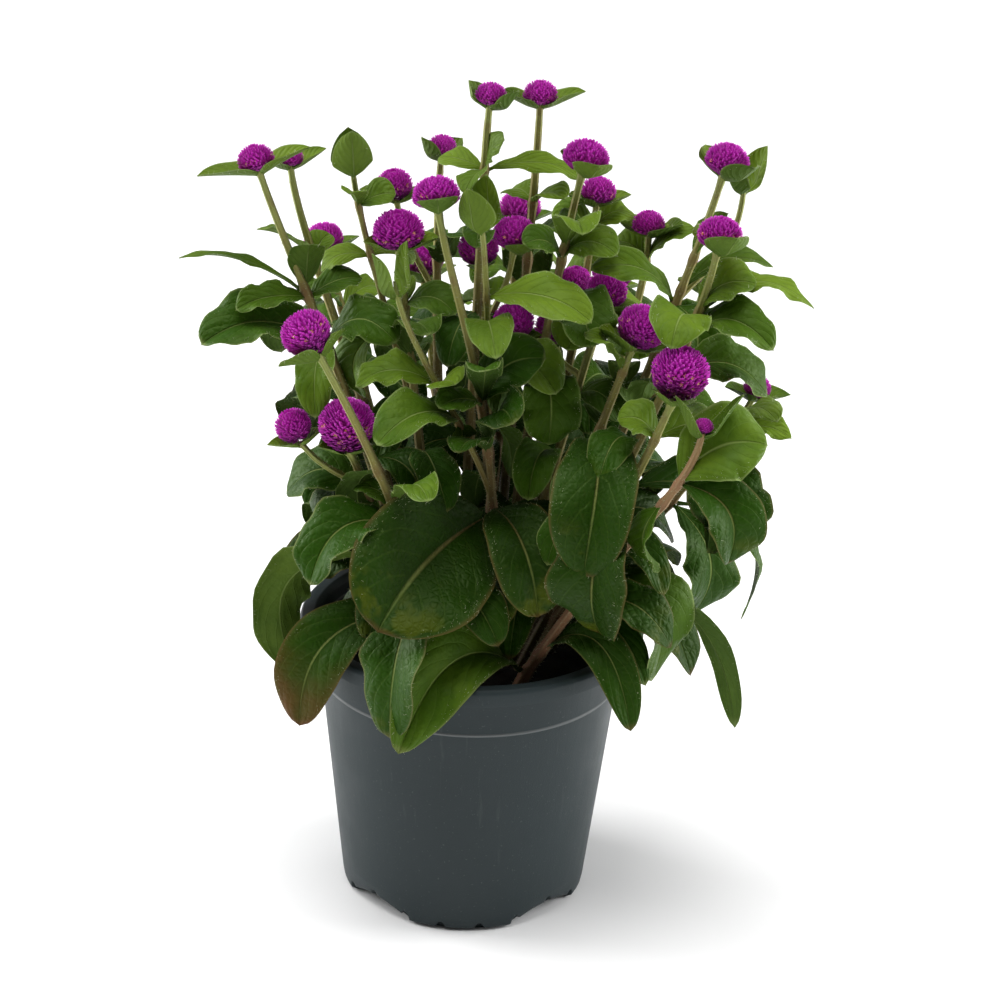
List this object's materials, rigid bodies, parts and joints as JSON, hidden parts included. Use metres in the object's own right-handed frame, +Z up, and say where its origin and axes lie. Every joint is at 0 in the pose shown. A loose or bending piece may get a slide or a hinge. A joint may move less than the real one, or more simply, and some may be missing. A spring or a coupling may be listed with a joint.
{
  "type": "potted globe amaranth",
  "caption": "Globe amaranth plant with magenta flower heads and opposite green leaves, growing in a round grey-blue plastic nursery pot filled with soil.",
  "frame": {"origin": "middle of the pot's flat underside, on the surface it stands on", "axes": "+Z up along the pot's axis, -Y towards the front of the plant, +X to its right seen from the front"},
  "size_m": [0.2429, 0.1891, 0.3425],
  "materials": {
    "pot_plastic": "matte",
    "potting_soil": "matte",
    "foliage": "satin",
    "flower_heads": "matte"
  },
  "bodies": {
    "root": {"pot": "pot_plastic", "soil": "potting_soil", "stem_01": "foliage", "stem_02": "foliage", "stem_03": "foliage", "stem_04": "foliage", "stem_05": "foliage", "stem_06": "foliage", "stem_07": "foliage", "stem_08": "foliage", "stem_09": "foliage", "stem_10": "foliage", "stem_11": "foliage", "stem_12": "foliage", "stem_13": "foliage", "stem_14": "foliage", "stem_15": "foliage", "stem_16": "foliage", "stem_17": "foliage", "stem_18": "foliage", "stem_19": "foliage", "stem_20": "foliage", "stem_21": "foliage", "stem_22": "foliage", "stem_23": "foliage", "stem_24": "foliage", "stem_25": "foliage", "flower_01": "flower_heads", "flower_02": "flower_heads", "flower_03": "flower_heads", "flower_04": "flower_heads", "flower_05": "flower_heads", "flower_06": "flower_heads", "flower_07": "flower_heads", "flower_08": "flower_heads", "flower_09": "flower_heads", "flower_10": "flower_heads", "flower_11": "flower_heads", "flower_12": "flower_heads", "flower_13": "flower_heads", "flower_14": "flower_heads", "flower_15": "flower_heads", "flower_16": "flower_heads", "flower_17": "flower_heads", "flower_18": "flower_heads", "flower_19": "flower_heads", "flower_20": "flower_heads", "flower_21": "flower_heads", "flower_22": "flower_heads", "flower_23": "flower_heads", "flower_24": "flower_heads", "flower_25": "flower_heads", "flower_26": "flower_heads", "flower_27": "flower_heads", "flower_28": "flower_heads", "flower_29": "flower_heads", "flower_30": "flower_heads", "flower_31": "flower_heads"}
  },
  "joints": []
}
